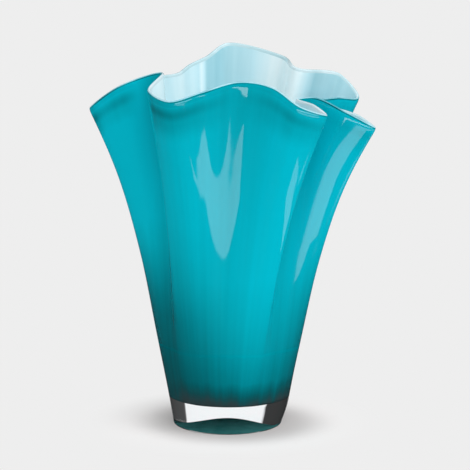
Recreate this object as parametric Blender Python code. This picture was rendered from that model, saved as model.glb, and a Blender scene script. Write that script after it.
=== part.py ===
"""Art glass vase: a round trumpet of cased glass whose wall is folded into six lobes, all one piece.

The foot is round and thick. From just above it the wall leaves the turned blank little by little,
until at the top it follows the folded rim, drawn below as a list of its lobe tips and valleys.
Metres, +Z up. The origin is the middle of the flat underside. The photograph looks along +Y.
"""

import bpy
import numpy as np

# Overall sizes
HEIGHT = 0.306  # the highest point of the rim
WALL = 0.003
BASE_THICKNESS = 0.027  # from the underside to the floor inside
HEEL_RADIUS = 0.002  # rounded edge round the underside
FLOOR_FILLET = 0.010  # where the wall inside turns into the floor

# Radii of the round blank, at even steps of its height
FOOT_RADIUS = 0.0468
LOW_RADIUS = 0.0592
MIDDLE_RADIUS = 0.0676
HIGH_RADIUS = 0.0776
MOUTH_RADIUS = 0.0920

# The foot draws in towards its underside, most on the right and not at all on the left
FOOT_TAPER = 0.0016  # on average all round
TAPER_HEIGHT = 0.020  # it begins below this height
TAPER_BEND = 1.5  # above 1, it draws in faster towards the underside

# How the folds come in
FOLD_START = 0.018  # the wall is round below this height
FOLD_GROWTH = 1.6  # above 1, the folds deepen faster towards the rim
DIP_GROWTH = 2.2  # the same for the dips of the rim, which reach less far down
DEEPEST_DIP = 0.047  # how far the lowest lobe tip lies below the highest point

# The rim, anticlockwise from the right: bearing at the foot and at the rim, in degrees, then
# distance from the axis in radii of the round mouth, and dip as a share of the deepest
RIM = {
    "right tip": (-14, -15.5, 1.38, 1),
    "right back": (-5, -9, 1.195, 0.83),
    "valley right": (8, 6, 0.825, 0.68),
    "back right side": (22, 22, 1.075, 0.72),
    "back right tip": (37, 32, 1.425, 0.81),
    "back right far": (48, 41, 1.36, 0.45),
    "valley back right": (65, 42, 0.86, 0.23),
    "back shoulder": (80, 63, 1.12, 0.15),
    "back tip": (98, 91, 1.27, 0),
    "back slope": (111, 103, 1.035, 0.17),
    "back side": (120, 114, 0.935, 0.26),
    "valley back left": (132, 128, 0.795, 0.34),
    "left far": (144, 144, 0.785, 0.34),
    "left back": (157, 163, 0.965, 0.45),
    "left tip": (173, 175, 1.285, 0.81),
    "left near": (193, 190, 1.02, 0.32),
    "valley left": (212, 203, 0.685, 0.04),
    "front left side": (226, 227, 1.075, 0.19),
    "front left tip": (241, 245, 1.23, 0.28),
    "front left slope": (252, 257, 1.02, 0.15),
    "valley front": (267, 278, 0.795, 0.04),
    "front right slope": (277, 295, 0.915, 0.13),
    "front right near": (287, 304, 1.12, 0.43),
    "front right tip": (295, 317, 1.205, 0.62),
    "front right far": (300, 325, 0.955, 0.53),
    "valley front right": (307, 337, 0.695, 0.51),
    "right near": (317, 341.5, 0.825, 0.49),
    "right side": (332, 340, 1.13, 0.72),
}

# Fineness of the mesh
COLUMNS = 112
WALL_ROWS = 18
TAPER_ROWS = 4
LINING_ROWS = 15
LIP_STEPS = 4
HEEL_STEPS = 3
FILLET_STEPS = 3
CURVE_STEPS = 60  # points worked out between two points of the rim
BEND_SHARE = 0.5  # how far the columns crowd where the rim bends, against even spacing
SLOPE_STEP = 0.001  # height over which the wall's lean is measured

GLASS_COLOUR = (0.0, 0.36, 0.45, 1.0)
GLASS_ROUGHNESS = 0.05
SHARP_ANGLE = 50


def clear_scene():
    for obj in list(bpy.data.objects):
        bpy.data.objects.remove(obj, do_unlink=True)


def closed_curve(points):
    """Points on a smooth closed curve through these points, even where two of them lie close."""
    curve = []
    for index in range(len(points)):
        before, start, end, after = (points[(index + k) % len(points)] for k in (-1, 0, 1, 2))
        knots = [0.0]
        for a, b in ((before, start), (start, end), (end, after)):
            knots.append(knots[-1] + np.linalg.norm((b - a)[:2]) ** 0.5)
        at = np.linspace(knots[1], knots[2], CURVE_STEPS, endpoint=False)[:, None]

        def between(a, b, first, last):
            return a + (b - a) * (at - knots[first]) / (knots[last] - knots[first])

        left = between(before, start, 0, 1)
        middle = between(start, end, 1, 2)
        right = between(end, after, 2, 3)
        curve.append(between(between(left, middle, 0, 2), between(middle, right, 1, 3), 1, 2))
    return np.concatenate(curve)


def hermite(values, slopes, share):
    """A smooth line from the first value to the second, with the two slopes given."""
    square, cube = share**2, share**3
    return (
        (2 * cube - 3 * square + 1) * values[0]
        + (cube - 2 * square + share) * slopes[0]
        + (3 * square - 2 * cube) * values[1]
        + (cube - square) * slopes[1]
    )


def foot_bearings(bearings):
    """The bearing at the foot for each point of the closed curve, in radians."""
    count = len(bearings)
    around = np.concatenate([bearings[-1:] - 360, bearings, bearings[:2] + 360])
    slopes = (around[2:] - around[:-2]) / 2
    share = np.linspace(0, 1, CURVE_STEPS, endpoint=False)
    pieces = [hermite(around[i + 1 : i + 3], slopes[i : i + 2], share) for i in range(count)]
    return np.radians(np.concatenate(pieces))


def rim_columns():
    """The rim's point and the foot's bearing for each column, closer together round tight bends."""
    rows = np.array(list(RIM.values()))
    turned = np.radians(rows[:, 1])
    reach, height = rows[:, 2] * MOUTH_RADIUS, HEIGHT - rows[:, 3] * DEEPEST_DIP
    curve = closed_curve(np.stack([reach * np.cos(turned), reach * np.sin(turned), height], 1))
    bearing = foot_bearings(rows[:, 0])

    step = np.roll(curve, -1, 0) - curve
    length = np.linalg.norm(step, axis=1)
    heading = np.unwrap(np.arctan2(step[:, 1], step[:, 0]))
    bend = np.abs(np.diff(np.append(heading, heading[0] + 2 * np.pi)))
    run = np.cumsum(length / length.sum() + BEND_SHARE * bend / bend.sum())
    run = np.concatenate([[0], run])

    wanted = np.arange(COLUMNS) / COLUMNS * run[-1]
    place = np.interp(wanted, run, np.arange(len(run)))
    whole = np.concatenate([curve, curve[:1]])
    rim = np.stack([np.interp(place, np.arange(len(run)), whole[:, axis]) for axis in range(3)], 1)
    foot = np.interp(place, np.arange(len(run)), np.append(bearing, bearing[0] + 2 * np.pi))
    return rim, foot


def blank_radius(height):
    """Radius of the round blank at this height."""
    radii = np.array([FOOT_RADIUS, LOW_RADIUS, MIDDLE_RADIUS, HIGH_RADIUS, MOUTH_RADIUS])
    slopes = np.gradient(radii)
    step = min(max(height / HEIGHT, 0), 1) * (len(radii) - 1)
    index = min(int(step), len(radii) - 2)
    return hermite(radii[index : index + 2], slopes[index : index + 2], step - index)


def foot_taper(height, foot):
    """How far the foot has drawn in at this height, for each column."""
    below = max(1 - height / TAPER_HEIGHT, 0)
    return FOOT_TAPER * (1 + np.cos(foot)) * below**TAPER_BEND


def outer_ring(height, rim, foot):
    """The outside of the wall at this height of the blank."""
    share = max(height - FOLD_START, 0) / (HEIGHT - FOLD_START)
    circle = np.stack([np.cos(foot), np.sin(foot)], 1)
    fold = rim[:, :2] - MOUTH_RADIUS * circle
    radius = blank_radius(height) - foot_taper(height, foot)
    across = radius[:, None] * circle + share**FOLD_GROWTH * fold
    dip = (HEIGHT - rim[:, 2]) * share**DIP_GROWTH
    return np.column_stack([across, height - dip])


def unit(vectors):
    return vectors / np.linalg.norm(vectors, axis=1, keepdims=True)


def directions(height, rim, foot):
    """Unit vectors out of the wall and up along it, for each column."""
    ring = outer_ring(height, rim, foot)
    below = outer_ring(height - SLOPE_STEP, rim, foot)
    along = np.roll(ring, -1, 0) - np.roll(ring, 1, 0)
    up = unit(ring - below)
    return unit(np.cross(along, up)), up


def inner_ring(height, rim, foot):
    return outer_ring(height, rim, foot) - WALL * directions(height, rim, foot)[0]


def drawn_in(ring, inset, height):
    """A level ring at this height, as far inside the given one as the inset."""
    reach = np.linalg.norm(ring[:, :2], axis=1, keepdims=True)
    return np.column_stack([ring[:, :2] * (1 - inset / reach), np.full(len(ring), height)])


def heel_rings(rim, foot):
    """From the flat underside round the heel, up to the start of the wall."""
    ring = outer_ring(HEEL_RADIUS, rim, foot)
    turns = np.linspace(np.pi / 2, 0, HEEL_STEPS, endpoint=False)
    return [
        drawn_in(ring, HEEL_RADIUS * (1 - np.cos(turn)), HEEL_RADIUS * (1 - np.sin(turn)))
        for turn in turns
    ]


def lip_rings(rim, foot):
    """The half round of the lip, from the outside over the crest to the inside."""
    out, up = directions(HEIGHT, rim, foot)
    middle = outer_ring(HEIGHT, rim, foot) - (out + up) * WALL / 2
    turns = np.linspace(0, np.pi, LIP_STEPS + 1)
    return [middle + (out * np.cos(turn) + up * np.sin(turn)) * WALL / 2 for turn in turns]


def floor_rings(rim, foot):
    """From the wall inside down the fillet to the flat floor."""
    ring = inner_ring(BASE_THICKNESS + FLOOR_FILLET, rim, foot)
    turns = np.linspace(0, np.pi / 2, FILLET_STEPS + 1)
    rings = []
    for turn in turns:
        height = BASE_THICKNESS + FLOOR_FILLET * (1 - np.sin(turn))
        rings.append(drawn_in(ring, FLOOR_FILLET * (1 - np.cos(turn)), height))
    return rings


def section_rings():
    """Every ring of the vase, from the underside up the outside, over the lip and down inside."""
    rim, foot = rim_columns()
    lip_start = HEIGHT - WALL
    lining_end = BASE_THICKNESS + FLOOR_FILLET
    tapered = np.linspace(HEEL_RADIUS, TAPER_HEIGHT, TAPER_ROWS, endpoint=False)
    outside = np.linspace(TAPER_HEIGHT, lip_start, WALL_ROWS)
    inside = np.linspace(lip_start, lining_end, LINING_ROWS, endpoint=False)
    return [
        *heel_rings(rim, foot),
        *(outer_ring(height, rim, foot) for height in tapered),
        *(outer_ring(height, rim, foot) for height in outside),
        *lip_rings(rim, foot),
        *(inner_ring(height, rim, foot) for height in inside),
        *floor_rings(rim, foot),
    ]


def loft(name, rings):
    """A closed mesh through the rings, with a flat face on the first and the last."""
    count = len(rings[0])
    faces = [tuple(reversed(range(count)))]
    for row in range(len(rings) - 1):
        low, high = row * count, (row + 1) * count
        for column in range(count):
            after = (column + 1) % count
            faces.append((low + column, low + after, high + after, high + column))
    faces.append(tuple(range((len(rings) - 1) * count, len(rings) * count)))
    mesh = bpy.data.meshes.new(name)
    mesh.from_pydata(np.concatenate(rings).tolist(), [], faces)
    mesh.validate()
    mesh.shade_smooth()
    mesh.set_sharp_from_angle(angle=np.radians(SHARP_ANGLE))
    return mesh


def glass_material():
    material = bpy.data.materials.new("teal_cased_glass")
    material.use_nodes = True
    shader = material.node_tree.nodes["Principled BSDF"]
    shader.inputs["Base Color"].default_value = GLASS_COLOUR
    shader.inputs["Roughness"].default_value = GLASS_ROUGHNESS
    shader.inputs["Metallic"].default_value = 0.0
    material.diffuse_color = GLASS_COLOUR
    return material


def main():
    clear_scene()
    collection = bpy.data.collections.new("art_glass_vase")
    bpy.context.scene.collection.children.link(collection)
    vase = bpy.data.objects.new("vase", loft("vase", section_rings()))
    vase.data.materials.append(glass_material())
    collection.objects.link(vase)


main()
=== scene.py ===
"""Looks of the art glass vase: teal glass over a pale opal lining, folded into lobes, on a thick clear foot.

Metres, +Z up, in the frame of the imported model. The photograph looks along +Y.
"""

import bpy
import numpy as np
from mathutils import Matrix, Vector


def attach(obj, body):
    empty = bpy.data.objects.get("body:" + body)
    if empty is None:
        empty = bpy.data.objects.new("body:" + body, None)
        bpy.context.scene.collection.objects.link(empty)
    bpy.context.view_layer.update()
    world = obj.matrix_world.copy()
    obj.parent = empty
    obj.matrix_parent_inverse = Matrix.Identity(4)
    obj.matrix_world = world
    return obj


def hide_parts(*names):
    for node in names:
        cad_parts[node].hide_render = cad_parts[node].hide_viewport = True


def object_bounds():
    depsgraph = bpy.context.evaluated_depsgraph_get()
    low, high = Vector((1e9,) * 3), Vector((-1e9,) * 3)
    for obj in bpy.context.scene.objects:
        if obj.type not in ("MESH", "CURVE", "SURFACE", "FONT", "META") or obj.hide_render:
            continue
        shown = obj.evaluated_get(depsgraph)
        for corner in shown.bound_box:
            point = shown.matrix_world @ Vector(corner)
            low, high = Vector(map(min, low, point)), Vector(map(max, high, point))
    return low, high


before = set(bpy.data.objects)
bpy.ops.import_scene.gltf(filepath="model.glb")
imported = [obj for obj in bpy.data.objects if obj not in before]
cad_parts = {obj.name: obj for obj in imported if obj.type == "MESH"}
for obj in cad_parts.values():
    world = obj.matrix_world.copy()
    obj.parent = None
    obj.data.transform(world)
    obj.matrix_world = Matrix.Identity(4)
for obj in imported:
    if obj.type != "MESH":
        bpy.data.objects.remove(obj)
cad_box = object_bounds()

# The vase, with the sizes of its solid
HEIGHT = 0.306
WALL = 0.003
BASE_THICKNESS = 0.027
HEEL_RADIUS = 0.002
FOOT_TAPER = 0.0016
TAPER_HEIGHT = 0.020
TAPER_BEND = 1.5
FLOOR_FILLET = 0.010
LIP_RISE = 0.005  # over this height the outside rounds over into the lip
BLANK_RADII = (0.0468, 0.0592, 0.0676, 0.0776, 0.0920)  # foot to mouth, at even steps of the height
FOLD_START = 0.018
FOLD_GROWTH = 1.6
DIP_GROWTH = 2.2
DEEPEST_DIP = 0.047

# The rim, anticlockwise from the right: bearing at the foot and at the rim, in degrees, then
# distance from the axis in radii of the round mouth, and dip as a share of the deepest
RIM = {
    "right tip": (-14, -15.5, 1.38, 1),
    "right back": (-5, -9, 1.195, 0.83),
    "valley right": (8, 6, 0.825, 0.68),
    "back right side": (22, 22, 1.075, 0.72),
    "back right tip": (37, 32, 1.425, 0.81),
    "back right far": (48, 41, 1.36, 0.45),
    "valley back right": (65, 42, 0.86, 0.23),
    "back shoulder": (80, 63, 1.12, 0.15),
    "back tip": (98, 91, 1.27, 0),
    "back slope": (111, 103, 1.035, 0.17),
    "back side": (120, 114, 0.935, 0.26),
    "valley back left": (132, 128, 0.795, 0.34),
    "left far": (144, 144, 0.785, 0.34),
    "left back": (157, 163, 0.965, 0.45),
    "left tip": (173, 175, 1.285, 0.81),
    "left near": (193, 190, 1.02, 0.32),
    "valley left": (212, 203, 0.685, 0.04),
    "front left side": (226, 227, 1.075, 0.19),
    "front left tip": (241, 245, 1.23, 0.28),
    "front left slope": (252, 257, 1.02, 0.15),
    "valley front": (267, 278, 0.795, 0.04),
    "front right slope": (277, 295, 0.915, 0.13),
    "front right near": (287, 304, 1.12, 0.43),
    "front right tip": (295, 317, 1.205, 0.62),
    "front right far": (300, 325, 0.955, 0.53),
    "valley front right": (307, 337, 0.695, 0.51),
    "right near": (317, 341.5, 0.825, 0.49),
    "right side": (332, 340, 1.13, 0.72),
}

# The clear glass round the foot, which thins to nothing up the wall
COLOUR_START = 0.0245  # underside of the coloured glass
COLOUR_CORNER = 0.003  # rounding where its underside turns up
CASING = 0.0020  # clear glass outside the colour at the foot
CASING_TOP = 0.070  # height by which the colour has reached the surface
CASING_END = 0.076  # between the two the skin of the clear glass dives below the colour
CASING_SINK = 0.0008
HIDDEN = 0.0004  # how far the clear glass runs on, unseen, inside the colour
TOP_HIDDEN = 0.0014  # and how far at the top of the casing
HOLLOW_RADIUS = 0.040  # the shallow hollow ground under the foot
HOLLOW_RISE = 0.0115
HOLLOW_STEPS = 16

# Fineness of the meshes
COLUMNS = 320
SKIN_ROWS = 120
LINING_ROWS = 90
LIP_STEPS = 18
LINE_STEPS = (4, 6)  # of those, where the dark line at the rim starts and ends
EDGE_END = 10  # and where the thinly coloured edge of the lip ends
HEEL_STEPS = 8
CORNER_STEPS = 5
FILLET_STEPS = 8
FOOT_ROWS = 40
CURVE_STEPS = 60
BEND_SHARE = 0.4
SLOPE_STEP = 0.001
MERGE = 0.000001  # points of the turned blank closer than this are one
SHARP_ANGLE = 50

# Camera, from the photograph
PIXELS = 470
METRES_PER_PIXEL = 0.00084
CAMERA_TARGET = (0.0049, 0.0, 0.1616)
CAMERA_DISTANCE = 4.0
CAMERA_RISE = 11.5
CLIP_END = 100
SENSOR = 36.0

BACKGROUND = 0.855

# The studio
FLOOR_LEVEL = -0.0003
FLOOR_RADIUS = 6
FLOOR_SIDES = 96
FLOOR_COLOUR = (0.875, 0.852, 0.848, 1)
SHADOW_REACH = (0.060, 0.125)  # distances from the axis between which the shadow on the floor fades out
PAINTED_SHADOW = 0.69  # how much of the floor's colour is left close to the foot: a painted shadow
PAINTED_SHADOW_REACH = (0.045, 0.094)  # distances between which the painted shadow fades and the colour comes back
PAINTED_SHADOW_SHIFT = (0.005, 0.0, 0.0)  # the middle of the painted shadow lies a little to the right
FILL = (0.90, 0.80)  # strength of the even light from the left and from the right
KEY = np.pi / 2
KEY_SPREAD = 60
KEY_TURN = (45, 0, 35)
DARK = 0.02  # what gloss shows where there is no card

# What the clear glass shows, by bearing from straight ahead: pale backdrops, with dark flags between
SURROUND = (
    (-180, 1.0), (-148, 0.05), (-105, 0.8), (-75, 0.045), (-27, 1.0),
    (36, 0.075), (78, 0.6), (102, 0.05), (148, 1.0),
)
SURROUND_EDGE = 0.002
SURROUND_TINTS = ((0.3, (0.92, 0.99, 1.0)), (0.7, (1.0, 0.98, 1.0)))
MOTTLE = 9

# The cards: strength, bearing from the camera and distance of the card's upright plane, and its
# corners there, across and up
CARDS = {
    "card_tall_window": (2.0, -10, 0.45, ((0.05, 0.09), (0.09, 0.12), (0.9, -0.13), (0.9, -0.3))),
    "card_strip": (1.8, 20, 0.26, ((0.06, 0.09), (0.06, 0.105), (0.3, -0.02), (0.3, -0.04))),
    "card_lip": (4.5, 0, 0.3, ((0.0, 0.21), (0.0, 0.24), (0.35, 0.22), (0.35, 0.18))),
}

# How fine the unevenness of the glass is: round the blank, along it, and in detail
WISPS = (5, 2.5, 3)
STREAKS = (14, 0.8, 4)
SMEARS = (9, 3, 3)
RIM_PATCHES = (4, 1, 2)
WAVER = (6, 0.6, 2)
CLOUDS = (9, 1.2, 4)

# How much darker the teal is towards the foot, from its lowest height up, on the side in painted shade and on
# the side in painted light
FOOT_DARKENING_START = 0.02
FOOT_DARKENING_RISE = 0.20
FOOT_DARKENING_SHADED_SIDE = (
    (0.02, 1.0), (0.06, 0.97), (0.125, 0.90), (0.26, 0.82), (0.395, 0.73),
    (0.57, 0.42), (0.68, 0.22), (0.82, 0.06), (0.95, 0.0),
)
FOOT_DARKENING_LIT_SIDE = ((0.02, 1.0), (0.06, 0.81), (0.125, 0.42), (0.26, 0.25), (0.395, 0.12), (0.57, 0.0))
PAINTED_LIT_SIDE = (0.31, -0.95)  # the bearing on the blank where the colour is lightest: the side in painted light
PAINTED_SHADE_RISE = 1.1  # how fast the painted shade darkens the colour away from there
PAINTED_SHADE_BEND = 0.8

# How dark the teal is round the blank, from the back over the left and the front: all the way up, and in a
# band under the rim, which shows only at some heights
PATCHES = ((0.0, 0.5), (0.3, 0.35), (0.37, 0.5), (0.44, 0.6), (0.54, 0.5), (1.0, 0.5))
RIM_BAND = (
    (0.0, 0.2), (0.2, 0.3), (0.24, 1.0), (0.26, 0.5), (0.29, 0.8), (0.31, 0.0), (0.39, 0.8),
    (0.44, 0.5), (0.49, 0.0), (0.54, 0.6), (0.6, 0.0), (0.7, 0.3), (1.0, 0.2),
)
# how much of that band shows, by height
UNDER_RIM = ((0.86, 0.0), (0.93, 0.55), (0.955, 1.0), (0.985, 0.35), (1.0, 0.5))

# How strongly each of these shows
WISP_DEPTH = 0.016
PATCH_DEPTH = 0.8
RIM_BAND_DEPTH = 0.6
# how strongly the painted shade in the valleys of the folds shows
VALLEY_SHADE_DEPTH = 0.9
STREAK_DEPTH = 0.16
WAVER_DEPTH = 0.006
CLOUD_DEPTH = 0.5
BACK_SHADE_DEPTH = 0.12  # how much darker the rim is at the back: painted shade

TEAL_SHADES = (
    (0.0, (0.0, 0.43, 0.545)), (0.25, (0.0, 0.305, 0.378)), (0.5, (0.0, 0.181, 0.220)),
    (0.75, (0.001, 0.095, 0.112)), (0.88, (0.006, 0.064, 0.073)), (1.0, (0.026, 0.045, 0.048)),
)
SMEAR_SPREAD = (0.35, 0.7)
SMEAR_ROUGHNESS = (0.02, 0.07)
RIM_SPREAD = (0.38, 0.62)  # where the rim has its dark and its light colour

# The lining: how milky it is round the blank, with painted shade and painted light by bearing and two painted
# highlight streaks near the back, and its colours from thin to thick
MILKY_SHADE_AND_HIGHLIGHT = (
    (0.0, 0.4), (0.03, 0.1), (0.06, 0.2), (0.065, 1.0), (0.07, 0.5), (0.11, 0.7), (0.25, 0.4),
    (0.36, 0.8), (0.5, 0.6), (0.87, 0.2), (0.91, 0.1), (0.93, 1.0), (0.98, 0.9), (1.0, 0.4),
)
OPAL_SHADES = ((0.0, (0.28, 0.56, 0.64)), (0.5, (0.55, 0.80, 0.87)), (1.0, (0.86, 0.98, 1.0)))

# dark teal of the ground underside: a painted shadow under the foot, tinted as if by light through the
# coloured glass; the grain is its own
UNDERSIDE_SHADOW_SHADES = ((0.3, (0.025, 0.15, 0.15)), (0.7, (0.045, 0.20, 0.20)))
GROUND_GRAIN = 90
GLASS_IOR = 1.5


def closed_curve(points):
    """Points on a smooth closed curve through these points, even where two of them lie close."""
    curve = []
    for index in range(len(points)):
        before, start, end, after = (points[(index + k) % len(points)] for k in (-1, 0, 1, 2))
        knots = [0.0]
        for a, b in ((before, start), (start, end), (end, after)):
            knots.append(knots[-1] + np.linalg.norm((b - a)[:2]) ** 0.5)
        at = np.linspace(knots[1], knots[2], CURVE_STEPS, endpoint=False)[:, None]

        def between(a, b, first, last):
            return a + (b - a) * (at - knots[first]) / (knots[last] - knots[first])

        left = between(before, start, 0, 1)
        middle = between(start, end, 1, 2)
        right = between(end, after, 2, 3)
        curve.append(between(between(left, middle, 0, 2), between(middle, right, 1, 3), 1, 2))
    return np.concatenate(curve)


def hermite(values, slopes, share):
    """A smooth line from the first value to the second, with the two slopes given."""
    square, cube = share**2, share**3
    return (
        (2 * cube - 3 * square + 1) * values[0]
        + (cube - 2 * square + share) * slopes[0]
        + (3 * square - 2 * cube) * values[1]
        + (cube - square) * slopes[1]
    )


def foot_bearings(bearings):
    """The bearing at the foot for each point of the closed curve, in radians."""
    count = len(bearings)
    around = np.concatenate([bearings[-1:] - 360, bearings, bearings[:2] + 360])
    slopes = (around[2:] - around[:-2]) / 2
    share = np.linspace(0, 1, CURVE_STEPS, endpoint=False)
    pieces = [hermite(around[i + 1 : i + 3], slopes[i : i + 2], share) for i in range(count)]
    return np.radians(np.concatenate(pieces))


def rim_columns():
    """The rim's point and the foot's bearing for each column, closer together round tight bends."""
    rows = np.array(list(RIM.values()))
    turned = np.radians(rows[:, 1])
    reach, height = rows[:, 2] * BLANK_RADII[-1], HEIGHT - rows[:, 3] * DEEPEST_DIP
    curve = closed_curve(np.stack([reach * np.cos(turned), reach * np.sin(turned), height], 1))
    bearing = foot_bearings(rows[:, 0])

    step = np.roll(curve, -1, 0) - curve
    length = np.linalg.norm(step, axis=1)
    heading = np.unwrap(np.arctan2(step[:, 1], step[:, 0]))
    bend = np.abs(np.diff(np.append(heading, heading[0] + 2 * np.pi)))
    run = np.cumsum(length / length.sum() + BEND_SHARE * bend / bend.sum())
    run = np.concatenate([[0], run])

    wanted = np.arange(COLUMNS) / COLUMNS * run[-1]
    place = np.interp(wanted, run, np.arange(len(run)))
    whole = np.concatenate([curve, curve[:1]])
    rim = np.stack([np.interp(place, np.arange(len(run)), whole[:, axis]) for axis in range(3)], 1)
    foot = np.interp(place, np.arange(len(run)), np.append(bearing, bearing[0] + 2 * np.pi))
    return rim, foot


rim, foot = rim_columns()
circle = np.stack([np.cos(foot), np.sin(foot)], 1)


def blank_radius(height):
    """Radius of the round blank at this height."""
    radii = np.array(BLANK_RADII)
    slopes = np.gradient(radii)
    step = min(max(height / HEIGHT, 0), 1) * (len(radii) - 1)
    index = min(int(step), len(radii) - 2)
    return hermite(radii[index : index + 2], slopes[index : index + 2], step - index)


def foot_taper(height):
    """How far the foot has drawn in at this height, for each column."""
    below = max(1 - height / TAPER_HEIGHT, 0)
    return FOOT_TAPER * (1 + circle[:, :1]) * below**TAPER_BEND


def outer_ring(height):
    """The outside of the wall at this height of the blank."""
    share = max(height - FOLD_START, 0) / (HEIGHT - FOLD_START)
    fold = rim[:, :2] - BLANK_RADII[-1] * circle
    radius = blank_radius(height) - foot_taper(height)
    across = radius * circle + share**FOLD_GROWTH * fold
    dip = (HEIGHT - rim[:, 2]) * share**DIP_GROWTH
    return np.column_stack([across, height - dip])


def unit(vectors):
    return vectors / np.linalg.norm(vectors, axis=1, keepdims=True)


def directions(height):
    """Unit vectors out of the wall and up along it, for each column."""
    ring = outer_ring(height)
    along = np.roll(ring, -1, 0) - np.roll(ring, 1, 0)
    up = unit(ring - outer_ring(height - SLOPE_STEP))
    return unit(np.cross(along, up)), up


def ring_at(height, depth):
    """The ring at this height of the blank, this far inside the outside of the wall."""
    return outer_ring(height) - depth * directions(height)[0]


def drawn_in(ring, inset, height):
    """A level ring at this height, as far inside the given one as the inset."""
    reach = np.linalg.norm(ring[:, :2], axis=1, keepdims=True)
    return np.column_stack([ring[:, :2] * (1 - inset / reach), np.full(len(ring), height)])


def ease(share):
    """From 0 to 1 with no corner at either end."""
    share = min(max(share, 0), 1)
    return share * share * (3 - 2 * share)


def colour_depth(height):
    """How far the colour lies below the surface of the glass."""
    start = COLOUR_START + COLOUR_CORNER
    return CASING * (1 - ease((height - start) / (CASING_TOP - start)))


def skin_depth(height):
    """How far the skin of the clear glass has sunk below the surface."""
    return CASING_SINK * max(height - CASING_TOP, 0) / (CASING_END - CASING_TOP)


def quarter_turn(ring, radius, height, steps):
    """Rings round a rounded edge, from the level face at this height up to the given ring."""
    turns = np.linspace(np.pi / 2, 0, steps + 1)
    return [
        drawn_in(ring, radius * (1 - np.cos(turn)), height + radius * (1 - np.sin(turn)))
        for turn in turns
    ]


def bubble_rings(hidden):
    """The bottom edge of the coloured glass, or a like edge this far inside it."""
    ring = ring_at(COLOUR_START + COLOUR_CORNER, CASING + hidden)
    return quarter_turn(ring, COLOUR_CORNER - hidden, COLOUR_START + hidden, CORNER_STEPS)


def coloured_rings():
    """Rings of the coloured glass and its lining, each with its height on the blank and the finish above."""
    rings = []

    def add(finish, heights, new):
        rings.extend((ring, height, finish) for ring, height in zip(new, heights))

    start = COLOUR_START + COLOUR_CORNER
    lip_start = HEIGHT - LIP_RISE
    heights = np.linspace(start, lip_start, SKIN_ROWS)[1:-1]
    edge = bubble_rings(0)
    add("teal under clear glass", np.linspace(COLOUR_START, start, len(edge)), edge)
    for height in heights:
        finish = "teal under clear glass" if height < CASING_TOP else "teal glass"
        add(finish, [height], [ring_at(height, colour_depth(height))])

    out, up = directions(HEIGHT)
    middle = outer_ring(HEIGHT) - out * WALL / 2
    for step, turn in enumerate(np.linspace(0, np.pi, LIP_STEPS + 1)):
        rise = LIP_RISE if turn < np.pi / 2 else WALL / 2
        ring = middle + out * np.cos(turn) * WALL / 2 - up * rise * (1 - np.sin(turn))
        finish = "lip"
        if step < LINE_STEPS[0]:
            finish = "teal glass"
        elif step < LINE_STEPS[1]:
            finish = "dark line"
        elif step < EDGE_END:
            finish = "lip edge"
        add(finish, [HEIGHT], [ring])

    lining_end = BASE_THICKNESS + FLOOR_FILLET
    inside = np.linspace(HEIGHT - WALL, lining_end, LINING_ROWS, endpoint=False)
    add("opal", inside, [ring_at(height, WALL) for height in inside])
    edge = ring_at(lining_end, WALL)
    floor = quarter_turn(edge, FLOOR_FILLET, BASE_THICKNESS, FILLET_STEPS)
    add("opal", [lining_end] * len(floor), floor[::-1])
    return rings, "teal under clear glass"


def clear_rings():
    """Rings of the clear foot and of the thin clear casing round the colour."""
    underside = []
    for share in np.linspace(0, 1, HOLLOW_STEPS + 1)[1:]:
        height = HOLLOW_RISE * (1 + np.cos(np.pi * share)) / 2
        underside.append(np.column_stack([HOLLOW_RADIUS * share * circle, np.full(COLUMNS, height)]))
    rings = quarter_turn(outer_ring(HEEL_RADIUS), HEEL_RADIUS, 0, HEEL_STEPS)
    heights = np.linspace(HEEL_RADIUS, CASING_END, FOOT_ROWS)
    rings += [ring_at(height, skin_depth(height)) for height in heights[1:]]
    start = COLOUR_START + COLOUR_CORNER
    for height in np.linspace(CASING_END, start, FOOT_ROWS)[:-1]:
        share = (height - start) / (CASING_END - start)
        rings.append(ring_at(height, colour_depth(height) + HIDDEN + (TOP_HIDDEN - HIDDEN) * share))
    rings += bubble_rings(HIDDEN)[::-1]
    ground = [(ring, 0, "ground underside") for ring in underside]
    return ground + [(ring, 0, "clear glass") for ring in rings], "ground underside"


def turned_blank(name, rings):
    """The round blank: a profile with a point for each ring, turned once round the axis."""
    profile = [(0, 0, rings[0][:, 2].mean())]
    profile += [(np.linalg.norm(ring[:, :2], axis=1).mean(), 0, ring[:, 2].mean()) for ring in rings]
    profile += [(0, 0, rings[-1][:, 2].mean())]
    mesh = bpy.data.meshes.new(name)
    mesh.from_pydata(profile[::-1], [(i, i + 1) for i in range(len(profile) - 1)], [])
    row = mesh.attributes.new("row", "INT", "POINT")
    row.data.foreach_set("value", np.arange(len(profile))[::-1].astype(np.int32))
    blank = bpy.data.objects.new(name, mesh)
    bpy.context.scene.collection.objects.link(blank)
    bpy.ops.object.select_all(action="DESELECT")
    blank.select_set(True)
    bpy.context.view_layer.objects.active = blank
    turn = blank.modifiers.new("turn", "SCREW")
    turn.steps = turn.render_steps = COLUMNS
    turn.use_merge_vertices = True
    turn.merge_threshold = MERGE
    bpy.ops.object.modifier_apply(modifier=turn.name)
    return blank


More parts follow.
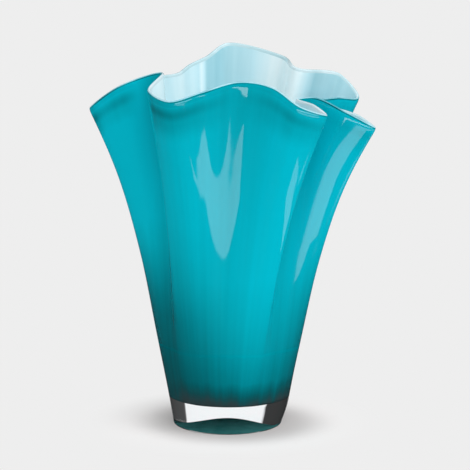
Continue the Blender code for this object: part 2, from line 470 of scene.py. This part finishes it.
def blown(name, rows, first, materials):
    """A closed piece of glass: the turned blank, with every point moved to its place on the folded wall."""
    rings = [ring for ring, height, finish in rows]
    piece = turned_blank(name, rings)
    mesh = piece.data
    count = len(mesh.vertices)
    blank = np.empty(count * 3, np.float32)
    mesh.vertices.foreach_get("co", blank)
    blank = blank.reshape(-1, 3)
    row = np.empty(count, np.int32)
    mesh.attributes["row"].data.foreach_get("value", row)
    column = np.rint(np.arctan2(blank[:, 1], blank[:, 0]) / (2 * np.pi) * COLUMNS).astype(int) % COLUMNS

    poles = [np.tile((0, 0, ring[:, 2].mean()), (COLUMNS, 1)) for ring in (rings[0], rings[-1])]
    stack = np.stack([poles[0], *rings, poles[1]])
    placed = np.clip(stack[row, column], *np.array(cad_box))
    mesh.vertices.foreach_set("co", placed.ravel().astype(np.float32))

    heights = np.array([rows[0][1], *(height for ring, height, finish in rows), rows[-1][1]])
    share = heights[row] / HEIGHT
    along = np.column_stack([circle[column], share])
    mesh.attributes.new("blank", "FLOAT_VECTOR", "POINT").data.foreach_set(
        "vector", along.ravel().astype(np.float32)
    )
    fold = (np.linalg.norm(rim[:, :2], axis=1) / BLANK_RADII[-1] - 1)[column] * share**FOLD_GROWTH
    mesh.attributes.new("fold", "FLOAT", "POINT").data.foreach_set("value", fold.astype(np.float32))

    finishes = [first] + [finish for ring, height, finish in rows]
    names = list(dict.fromkeys(finishes))
    for finish in names:
        mesh.materials.append(materials[finish])
    slots = [names.index(finish) for finish in finishes]
    for polygon in mesh.polygons:
        polygon.material_index = slots[min(row[vertex] for vertex in polygon.vertices)]
    mesh.update()
    mesh.shade_smooth()
    bpy.ops.object.shade_smooth_by_angle(angle=np.radians(SHARP_ANGLE))
    return piece


def node(tree, kind, **settings):
    """A node with its settings; a name that is a socket's, or input0 and so on, sets or links that socket."""
    made = tree.nodes.new(kind)
    for key, value in settings.items():
        if key.startswith("input"):
            socket = made.inputs[int(key[5:])]
        else:
            socket = made.inputs.get(key.replace("_", " "))
        if socket is None:
            setattr(made, key, value)
        elif isinstance(value, bpy.types.NodeSocket):
            tree.links.new(value, socket)
        else:
            socket.default_value = value
    return made


def math(tree, operation, *values, clamp=False):
    inputs = {f"input{index}": value for index, value in enumerate(values)}
    return node(tree, "ShaderNodeMath", operation=operation, use_clamp=clamp, **inputs).outputs[0]


def swing(tree, value, depth):
    """A value that lies round a half, as a change of this depth round nothing."""
    return math(tree, "MULTIPLY", math(tree, "SUBTRACT", value, 0.5), depth)


def axes(tree, vector):
    return node(tree, "ShaderNodeSeparateXYZ", Vector=vector).outputs


def distance(tree, place):
    return node(tree, "ShaderNodeVectorMath", operation="LENGTH", input0=place).outputs["Value"]


def spread(tree, value, before, after=(0.0, 1.0), kind="LINEAR"):
    """The value, carried from one span to another."""
    return node(
        tree, "ShaderNodeMapRange", interpolation_type=kind,
        Value=value, From_Min=before[0], From_Max=before[1], To_Min=after[0], To_Max=after[1],
    ).outputs[0]


def mix_shader(tree, share, first, second):
    return node(tree, "ShaderNodeMixShader", input0=share, input1=first, input2=second).outputs[0]


def grey(value):
    return (value, value, value, 1)


def ramp(tree, factor, stops, smooth=False):
    """A colour ramp: stops are pairs of place and grey value or colour."""
    made = node(tree, "ShaderNodeValToRGB", Fac=factor)
    elements = made.color_ramp.elements
    made.color_ramp.interpolation = "EASE" if smooth else "LINEAR"
    while len(elements) < len(stops):
        elements.new(1)
    for element, (place, value) in zip(elements, stops):
        element.position = place
        element.color = (*value, 1) if isinstance(value, tuple) else grey(value)
    return made.outputs[0]


def material_tree(name, **settings):
    material = bpy.data.materials.new(name)
    material.use_nodes = True
    shader = material.node_tree.nodes["Principled BSDF"]
    for key, value in settings.items():
        shader.inputs[key.replace("_", " ")].default_value = value
    return material, material.node_tree, shader


def blank_place(tree):
    """Cosine and sine of the bearing on the round blank, and the height on it as a share."""
    return node(tree, "ShaderNodeAttribute", attribute_name="blank").outputs["Vector"]


def stretched_noise(tree, blank, around, along, detail):
    """Noise drawn out along the wall: so fine around it, and so fine along it."""
    fineness = (around, around, along)
    scaled = node(tree, "ShaderNodeVectorMath", operation="MULTIPLY", input0=blank, input1=fineness)
    noise = node(tree, "ShaderNodeTexNoise", Vector=scaled.outputs[0], Scale=1, Detail=detail)
    return noise.outputs["Fac"]


def bearing_share(tree, blank):
    """How far round the blank, from 0 at the back over the left and the front (0.5) and the right to 1."""
    bearing = axes(tree, blank)
    turned = math(tree, "ARCTAN2", bearing["X"], math(tree, "MULTIPLY", bearing["Y"], -1.0))
    return math(tree, "ADD", math(tree, "DIVIDE", turned, 2 * np.pi), 0.5)


def teal_group():
    """The colour of the teal glass: darker towards the foot and in a band under the rim, with painted shade
    on the left and in the valleys of the folds, and painted light at the front right.
    """
    tree = bpy.data.node_groups.new("teal_colour", "ShaderNodeTree")
    tree.interface.new_socket("Color", in_out="OUTPUT", socket_type="NodeSocketColor")
    blank = blank_place(tree)
    cosine, sine, share = axes(tree, blank)
    around = bearing_share(tree, blank)

    wisps = swing(tree, stretched_noise(tree, blank, *WISPS), WISP_DEPTH)
    object_place = node(tree, "ShaderNodeTexCoord").outputs["Object"]
    height = math(tree, "ADD", axes(tree, object_place)["Z"], wisps)
    climb = math(tree, "DIVIDE", math(tree, "SUBTRACT", height, FOOT_DARKENING_START), FOOT_DARKENING_RISE)
    # painted shade: the darkening towards the foot climbs higher the further the bearing turns from the side
    # in painted light
    across = math(tree, "MULTIPLY", cosine, PAINTED_LIT_SIDE[0])
    toward_lit_side = math(tree, "ADD", across, math(tree, "MULTIPLY", sine, PAINTED_LIT_SIDE[1]))
    turned = math(tree, "MULTIPLY", math(tree, "SUBTRACT", 1.0, toward_lit_side), PAINTED_SHADE_RISE)
    side = math(tree, "POWER", turned, PAINTED_SHADE_BEND, clamp=True)
    light, dark = ramp(tree, climb, FOOT_DARKENING_LIT_SIDE), ramp(tree, climb, FOOT_DARKENING_SHADED_SIDE)
    foot_darkening = node(tree, "ShaderNodeMix", data_type="FLOAT", Factor=side, input2=light, input3=dark)
    density = math(tree, "ADD", foot_darkening.outputs[0], swing(tree, ramp(tree, around, PATCHES), PATCH_DEPTH))

    under_rim = ramp(tree, share, UNDER_RIM, smooth=True)
    rim_band = math(tree, "MULTIPLY", ramp(tree, around, RIM_BAND), under_rim)
    density = math(tree, "ADD", density, math(tree, "MULTIPLY", rim_band, RIM_BAND_DEPTH))

    # painted shade: the teal is darker in the valleys, where the wall folds inward
    fold = node(tree, "ShaderNodeAttribute", attribute_name="fold").outputs["Fac"]
    valley = math(tree, "MAXIMUM", math(tree, "MULTIPLY", fold, -1.0), 0.0)
    density = math(tree, "ADD", density, math(tree, "MULTIPLY", valley, VALLEY_SHADE_DEPTH))
    streaks = stretched_noise(tree, blank, *STREAKS)
    density = math(tree, "ADD", density, swing(tree, streaks, STREAK_DEPTH))
    output = node(tree, "NodeGroupOutput")
    tree.links.new(ramp(tree, density, TEAL_SHADES), output.inputs[0])
    return tree


def teal_glass(name, group, specular):
    material, tree, shader = material_tree(
        name, IOR=GLASS_IOR, Metallic=0.0, Specular_IOR_Level=specular
    )
    colour = node(tree, "ShaderNodeGroup", node_tree=group).outputs[0]
    tree.links.new(colour, shader.inputs["Base Color"])
    smears = stretched_noise(tree, blank_place(tree), *SMEARS)
    roughness = spread(tree, smears, SMEAR_SPREAD, SMEAR_ROUGHNESS)
    tree.links.new(roughness, shader.inputs["Roughness"])
    return material


def rim_glass(name, dark, light):
    """Glass of the rim, changing slowly round it between two colours, with painted shade making it darker at
    the back.
    """
    material, tree, shader = material_tree(name, Roughness=0.05, IOR=GLASS_IOR)
    blank = blank_place(tree)
    # painted shade: the rim's colour is pushed darker towards the back
    back = math(tree, "MULTIPLY", axes(tree, blank)["Y"], BACK_SHADE_DEPTH)
    patches = math(tree, "SUBTRACT", stretched_noise(tree, blank, *RIM_PATCHES), back)
    colour = ramp(tree, patches, list(zip(RIM_SPREAD, (dark, light))))
    tree.links.new(colour, shader.inputs["Base Color"])
    return material


def opal_lining():
    """The pale lining, in soft upright stripes: milky where it is thick, blue where it was drawn thin, with
    painted shade and light between the lobes and two painted highlight streaks.
    """
    material, tree, shader = material_tree("opal_lining", Roughness=0.08, IOR=GLASS_IOR)
    blank = blank_place(tree)
    waver = swing(tree, stretched_noise(tree, blank, *WAVER), WAVER_DEPTH)
    # partly the lining's own stripes, partly painted shade and painted light round the lobes, with two
    # painted highlight streaks near the back
    milky_shade_and_highlight = ramp(tree, math(tree, "ADD", bearing_share(tree, blank), waver), MILKY_SHADE_AND_HIGHLIGHT)
    clouds = swing(tree, stretched_noise(tree, blank, *CLOUDS), CLOUD_DEPTH)
    colour = ramp(tree, math(tree, "ADD", milky_shade_and_highlight, clouds), OPAL_SHADES)
    tree.links.new(colour, shader.inputs["Base Color"])
    return material


def ground_underside():
    material, tree, shader = material_tree("ground_underside", Roughness=0.6, Specular_IOR_Level=0.0)
    place = node(tree, "ShaderNodeTexCoord").outputs["Object"]
    grain = node(tree, "ShaderNodeTexNoise", Vector=place, Scale=GROUND_GRAIN, Detail=3).outputs["Fac"]
    # painted shadow: the underside's dark teal stands in for the shade under the foot
    tree.links.new(ramp(tree, grain, UNDERSIDE_SHADOW_SHADES), shader.inputs["Base Color"])
    return material


def clear_glass():
    material, tree, shader = material_tree(
        "clear_glass", Base_Color=grey(1), Roughness=0.0, IOR=GLASS_IOR, Transmission_Weight=1.0
    )
    path = node(tree, "ShaderNodeLightPath").outputs
    lit = math(tree, "MAXIMUM", path["Is Shadow Ray"], path["Is Diffuse Ray"])
    through = node(tree, "ShaderNodeBsdfTransparent").outputs[0]
    last = mix_shader(tree, lit, shader.outputs[0], through)
    tree.links.new(last, tree.nodes["Material Output"].inputs["Surface"])
    return material


TEAL = teal_group()
MATERIALS = {
    "teal glass": teal_glass("teal_glass", TEAL, 0.5),
    "teal under clear glass": teal_glass("teal_under_clear_glass", TEAL, 0.0),
    "dark line": rim_glass("dark_line", (0.0, 0.12, 0.15), (0.0, 0.26, 0.32)),
    "lip edge": rim_glass("lip_edge", (0.10, 0.42, 0.50), (0.38, 0.66, 0.74)),
    "lip": rim_glass("opal_lip", (0.50, 0.70, 0.75), (0.72, 0.84, 0.88)),
    "opal": opal_lining(),
    "clear glass": clear_glass(),
    "ground underside": ground_underside(),
}


def add_camera():
    data = bpy.data.cameras.new("camera")
    data.sensor_width = SENSOR
    data.lens = SENSOR * CAMERA_DISTANCE / (PIXELS * METRES_PER_PIXEL)
    data.clip_end = CLIP_END
    camera = bpy.data.objects.new("camera", data)
    rise = np.radians(CAMERA_RISE)
    back = np.array([0, -np.cos(rise), np.sin(rise)])
    camera.location = np.array(CAMERA_TARGET) + CAMERA_DISTANCE * back
    camera.rotation_euler = (np.pi / 2 - rise, 0, 0)
    bpy.context.scene.collection.objects.link(camera)
    bpy.context.scene.camera = camera


def stage_sheet(name, corners, material):
    """A flat piece of the studio with these corners."""
    mesh = bpy.data.meshes.new(name)
    mesh.from_pydata(corners, [], [tuple(range(len(corners)))])
    sheet = bpy.data.objects.new(name, mesh)
    bpy.context.scene.collection.objects.link(sheet)
    sheet.data.materials.append(material)
    return sheet


def surround_group():
    """Pale backdrops and dark flags all round, for what is seen through the clear glass."""
    tree = bpy.data.node_groups.new("surround", "ShaderNodeTree")
    tree.interface.new_socket("Vector", in_out="INPUT", socket_type="NodeSocketVector")
    tree.interface.new_socket("Color", in_out="OUTPUT", socket_type="NodeSocketColor")
    vector = node(tree, "NodeGroupInput").outputs[0]
    away = axes(tree, vector)
    turned = math(tree, "DIVIDE", math(tree, "ARCTAN2", away["X"], away["Y"]), 2 * np.pi)
    bearing = math(tree, "ADD", turned, 0.5)
    stops = [(0.0, SURROUND[0][1])]
    for (start, shade), (_, last) in zip(SURROUND[1:], SURROUND):
        place = start / 360 + 0.5
        stops += [(place - SURROUND_EDGE, last), (place + SURROUND_EDGE, shade)]
    shades = ramp(tree, bearing, stops)
    mottle = node(tree, "ShaderNodeTexNoise", Vector=vector, Scale=MOTTLE, Detail=3).outputs["Fac"]
    tint = ramp(tree, mottle, SURROUND_TINTS)
    mixed = node(
        tree, "ShaderNodeMix", data_type="RGBA", blend_type="MULTIPLY",
        input0=1.0, input6=shades, input7=tint,
    )
    output = node(tree, "NodeGroupOutput")
    tree.links.new(mixed.outputs[2], output.inputs[0])
    return tree


def seen_only_by(sheet, ray):
    for kind in ("camera", "diffuse", "glossy", "transmission", "volume_scatter", "shadow"):
        setattr(sheet, f"visible_{kind}", kind == ray)


def add_floor(surround):
    """A pale floor that keeps the shadow round the foot, deepened there by a painted shadow in its colour,
    and is plain further out.
    """
    bpy.ops.object.select_all(action="DESELECT")
    bpy.ops.mesh.primitive_circle_add(
        vertices=FLOOR_SIDES, radius=FLOOR_RADIUS, fill_type="NGON", location=(0, 0, FLOOR_LEVEL)
    )
    floor = bpy.context.object
    floor.name = "floor"
    material, tree, shader = material_tree("floor", Roughness=1.0, Specular_IOR_Level=0.0)
    place = node(tree, "ShaderNodeTexCoord").outputs["Object"]
    # painted shadow: the floor's own colour is darkened close to the foot
    shifted = node(tree, "ShaderNodeVectorMath", operation="SUBTRACT", input0=place, input1=PAINTED_SHADOW_SHIFT)
    painted_shadow_away = distance(tree, shifted.outputs[0])
    painted_shadow_share = spread(tree, painted_shadow_away, PAINTED_SHADOW_REACH, (PAINTED_SHADOW, 1.0), "SMOOTHSTEP")
    painted_shadow_colour = node(
        tree, "ShaderNodeVectorMath", operation="SCALE", input0=FLOOR_COLOUR[:3], Scale=painted_shadow_share
    ).outputs[0]
    tree.links.new(painted_shadow_colour, shader.inputs["Base Color"])

    path = node(tree, "ShaderNodeLightPath").outputs
    plain = spread(tree, distance(tree, place), SHADOW_REACH, kind="SMOOTHSTEP")
    seen = math(tree, "MULTIPLY", plain, path["Is Camera Ray"])
    pale = node(tree, "ShaderNodeEmission", Color=grey(BACKGROUND)).outputs[0]
    outer = mix_shader(tree, seen, shader.outputs[0], pale)
    unseen = node(tree, "ShaderNodeBsdfTransparent").outputs[0]
    mirrored = mix_shader(tree, path["Is Glossy Ray"], outer, unseen)
    round_about = node(tree, "ShaderNodeGroup", node_tree=surround, input0=place).outputs[0]
    through = node(tree, "ShaderNodeEmission", Color=round_about).outputs[0]
    last = mix_shader(tree, path["Is Transmission Ray"], mirrored, through)
    tree.links.new(last, tree.nodes["Material Output"].inputs["Surface"])
    floor.data.materials.append(material)


def add_world(surround):
    """Even light, a little stronger from the left; pale to the camera, dark in gloss."""
    world = bpy.data.worlds.new("studio")
    bpy.context.scene.world = world
    world.use_nodes = True
    tree = world.node_tree
    path = node(tree, "ShaderNodeLightPath").outputs
    direction = node(tree, "ShaderNodeTexCoord").outputs["Generated"]
    fill = tree.nodes["Background"]
    fill.inputs["Color"].default_value = grey(1)
    strength = spread(tree, axes(tree, direction)["X"], (-1.0, 1.0), FILL)
    tree.links.new(strength, fill.inputs["Strength"])
    pale = node(tree, "ShaderNodeBackground", Color=grey(BACKGROUND), Strength=1.0).outputs[0]
    dark = node(tree, "ShaderNodeBackground", Color=grey(DARK), Strength=1.0).outputs[0]
    first = mix_shader(tree, path["Is Glossy Ray"], fill.outputs[0], dark)
    seen = mix_shader(tree, path["Is Camera Ray"], first, pale)
    round_about = node(tree, "ShaderNodeGroup", node_tree=surround, input0=direction).outputs[0]
    through = node(tree, "ShaderNodeBackground", Color=round_about, Strength=1.0).outputs[0]
    last = mix_shader(tree, path["Is Transmission Ray"], seen, through)
    tree.links.new(last, tree.nodes["World Output"].inputs["Surface"])


def add_sun():
    data = bpy.data.lights.new("key", "SUN")
    data.energy = KEY
    data.angle = np.radians(KEY_SPREAD)
    key = bpy.data.objects.new("key", data)
    key.rotation_euler = np.radians(KEY_TURN)
    key.visible_glossy = False
    key.visible_transmission = False
    bpy.context.scene.collection.objects.link(key)


def add_cards():
    """Bright cards that only the gloss shows."""
    for name, (strength, bearing, away, outline) in CARDS.items():
        material, tree = material_tree(name)[:2]
        shine = node(tree, "ShaderNodeEmission", Color=grey(1), Strength=strength).outputs[0]
        tree.links.new(shine, tree.nodes["Material Output"].inputs["Surface"])
        turn = np.radians(bearing)
        side, ahead = np.array([np.cos(turn), np.sin(turn), 0]), np.array([np.sin(turn), -np.cos(turn), 0])
        corners = [ahead * away + side * across + (0, 0, up) for across, up in outline]
        seen_only_by(stage_sheet(name, corners, material), "glossy")


coloured = blown("coloured_glass", *coloured_rings(), MATERIALS)
clear = blown("clear_foot", *clear_rings(), MATERIALS)
for piece in (coloured, clear):
    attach(piece, "root")
    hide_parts("vase")

surround = surround_group()
add_floor(surround)
add_world(surround)
add_sun()
add_cards()
add_camera()
bpy.context.scene.view_settings.view_transform = "Standard"
